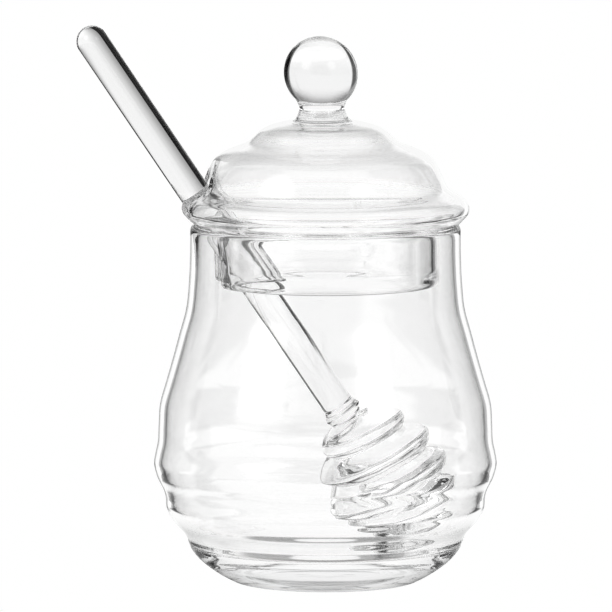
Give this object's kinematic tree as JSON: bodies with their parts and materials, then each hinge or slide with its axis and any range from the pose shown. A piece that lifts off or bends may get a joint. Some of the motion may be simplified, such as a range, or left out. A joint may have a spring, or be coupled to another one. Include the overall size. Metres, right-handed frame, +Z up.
{
  "type": "glass honey jar with dipper",
  "caption": "Clear blown glass beehive-shaped jar with soft ridges, a domed lid with a ball knob and a notch, and a glass dipper with a spiral-ridged head.",
  "frame": {"origin": "centre of the jar's flat base, on the jar's axis", "axes": "+Z up along the jar's axis; the dipper leans out to -X and 8 degrees towards -Y; the picture's camera looks along +Y with +X to its right"},
  "size_m": [0.1098, 0.09, 0.1465],
  "materials": {
    "jar_glass": "clear fire-polished thin blown glass",
    "lid_glass": "clear fire-polished blown glass with a solid knob and flange",
    "dipper_glass": "clear fire-polished solid glass rod"
  },
  "bodies": {
    "root": {"jar": "jar_glass", "lid": "lid_glass", "dipper": "dipper_glass"}
  },
  "joints": []
}
